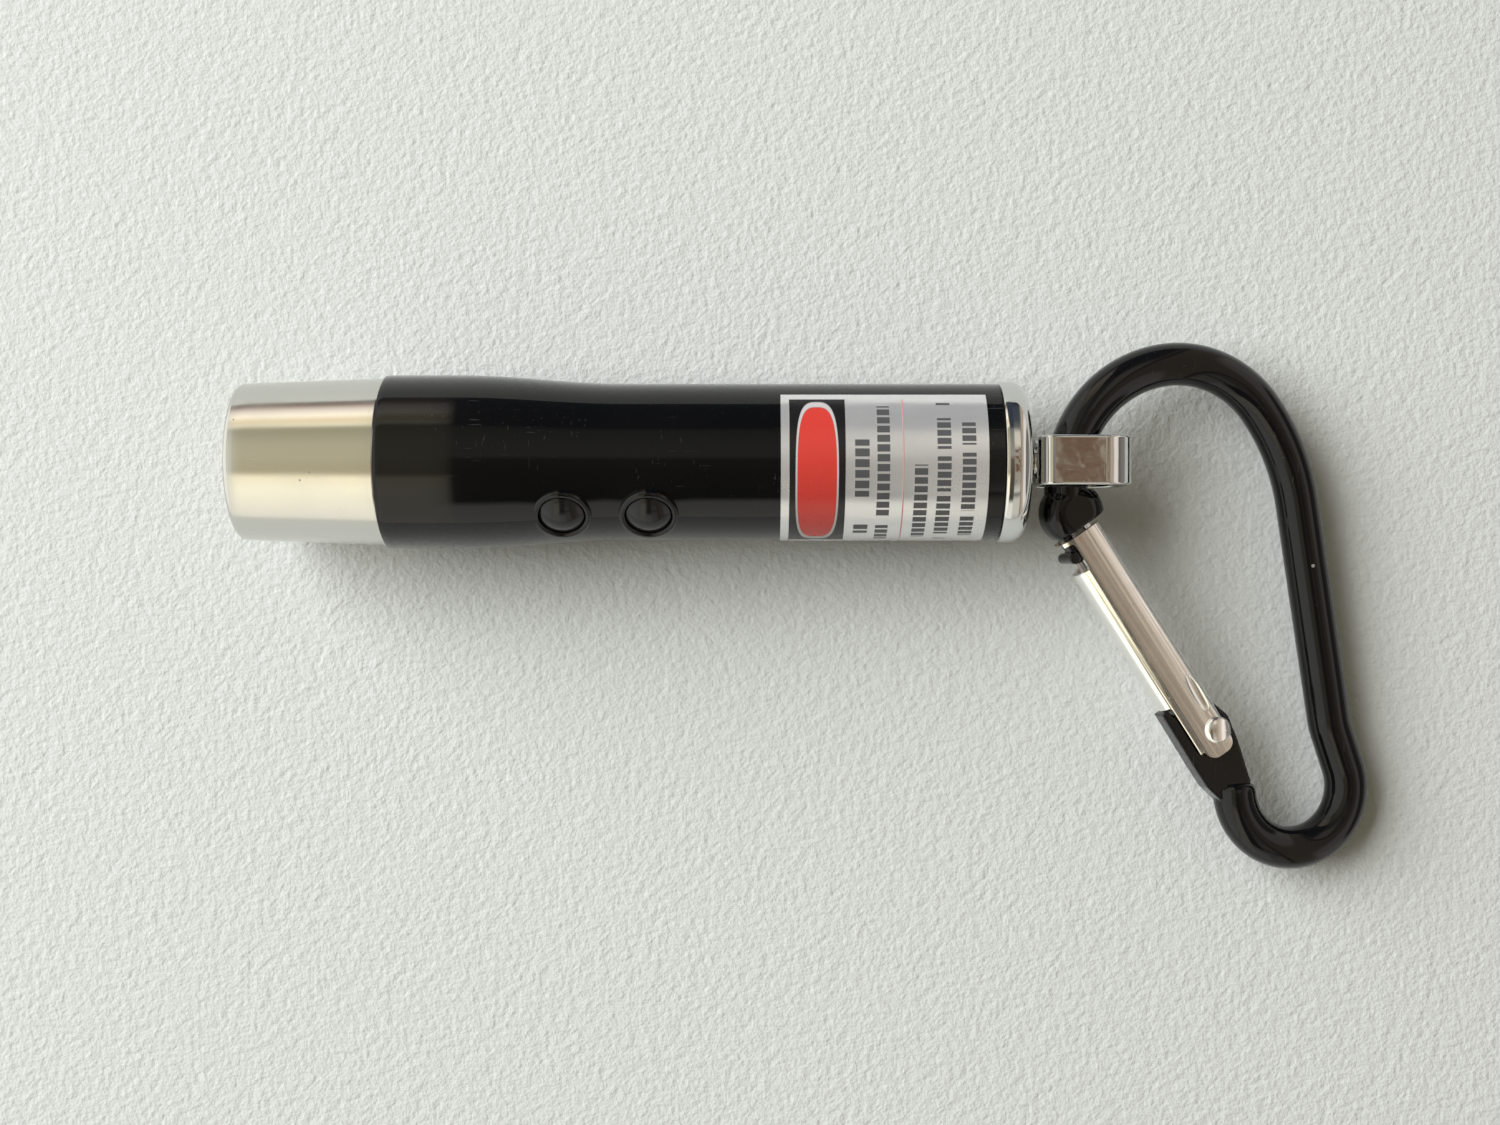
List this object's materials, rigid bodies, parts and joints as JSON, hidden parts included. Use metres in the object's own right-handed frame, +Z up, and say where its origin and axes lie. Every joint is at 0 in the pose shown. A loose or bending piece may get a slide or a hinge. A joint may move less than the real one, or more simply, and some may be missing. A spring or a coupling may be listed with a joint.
{
  "type": "keychain flashlight",
  "caption": "Pocket flashlight with a laser aperture, side push buttons, a screw-on battery cap and a swivel ring that carries a spring-gated snap clip.",
  "frame": {"origin": "middle of the front rim, on the flashlight's axis", "axes": "+X from the front rim along the flashlight to its tail and clip; +Z up, away from the table that the flashlight and its clip lie on; +Y away from the snap clip's gate"},
  "size_m": [0.1101, 0.0517, 0.0166],
  "materials": {
    "satin_silver": "satin bright plating",
    "bright_chrome": "polished",
    "black_gloss": "gloss black lacquer",
    "black_rod": "gloss black coating",
    "button_black": "gloss moulded",
    "gate_steel": "bright stamped steel",
    "spring_steel": "drawn wire",
    "brass": "turned",
    "gold_plate": "plated",
    "clear_lens": "polished",
    "led_resin": "clear resin",
    "holder_silver": "metallised plastic",
    "board_green": "solder mask",
    "part_black": "moulded",
    "wire_red": "insulated wire",
    "cell_steel": "satin plated",
    "sleeve_white": "insulating paper",
    "seal_rubber": "moulded",
    "label_foil": "printed foil"
  },
  "bodies": {
    "light": {"head_bezel": "satin_silver", "lamp_holder": "holder_silver", "white_led": "led_resin", "led_leads": "spring_steel", "laser_barrel": "brass", "laser_lens": "clear_lens", "laser_lens_ring": "brass", "laser_diode": "part_black", "laser_wires": "wire_red", "circuit_board": "board_green", "chip_resistors": "part_black", "laser_switch": "part_black", "light_switch": "part_black", "laser_button_ring": "black_gloss", "light_button_ring": "black_gloss", "body_tube": "black_gloss", "foil_label": "label_foil", "battery_sleeve": "sleeve_white", "positive_contact": "gold_plate", "front_cell": "cell_steel", "middle_cell": "cell_steel", "rear_cell": "cell_steel", "cap_gasket": "seal_rubber"},
    "laser_button": {"laser_button": "button_black", "laser_switch_stem": "part_black"},
    "light_button": {"light_button": "button_black", "light_switch_stem": "part_black"},
    "spring_carrier": {"spring_seat": "gold_plate", "tail_spring": "spring_steel"},
    "cap": {"tail_cap": "bright_chrome", "swivel_collar": "bright_chrome", "swivel_rivet": "bright_chrome"},
    "ring": {"swivel_ring": "bright_chrome"},
    "clip": {"clip_frame": "black_rod", "gate_rivet": "gate_steel"},
    "gate": {"clip_gate": "gate_steel", "gate_spring": "spring_steel"},
    "plunger": {"gate_plunger": "gate_steel"}
  },
  "joints": [
    {"name": "laser_button_press", "type": "slide", "parent": "light", "child": "laser_button", "axis": [0, 0.682, -0.7314], "range_m": [0, 0.0005], "stiffness_N_per_m": 800},
    {"name": "light_button_press", "type": "slide", "parent": "light", "child": "light_button", "axis": [0, 0.682, -0.7314], "range_m": [0, 0.0005], "stiffness_N_per_m": 800},
    {"name": "cap_travel", "type": "slide", "parent": "light", "child": "spring_carrier", "axis": [1, 0, 0], "range_m": [0, 0.004]},
    {"name": "cap_unscrew", "type": "hinge", "parent": "spring_carrier", "child": "cap", "pos_m": [0.0724, 0, 0], "axis": [1, 0, 0], "range_deg": [0, 1440]},
    {"name": "ring_swivel", "type": "hinge", "parent": "cap", "child": "ring", "pos_m": [0.0759, 0, 0], "axis": [1, 0, 0], "continuous": true},
    {"name": "clip_swing", "type": "hinge", "parent": "ring", "child": "clip", "pos_m": [0.07935, 0, -0.0005], "axis": [0, 1, 0], "range_deg": [-95, 78]},
    {"name": "gate_hinge", "type": "hinge", "parent": "clip", "child": "gate", "pos_m": [0.09369, -0.02587, -0.00326], "axis": [-0.1891, 0, -0.982], "range_deg": [0, 28], "stiffness_Nm_per_rad": 0.02, "springref_deg": -20.05},
    {"name": "plunger_slide", "type": "slide", "parent": "gate", "child": "plunger", "axis": [-0.5463, 0.831, 0.1052], "range_m": [0, 0.00042]}
  ],
  "couplings": [
    {"joint": "cap_travel", "follows": "cap_unscrew", "m_per_rad": 0.00015915},
    {"joint": "plunger_slide", "follows": "gate_hinge", "m_per_rad": 0.00081851}
  ]
}
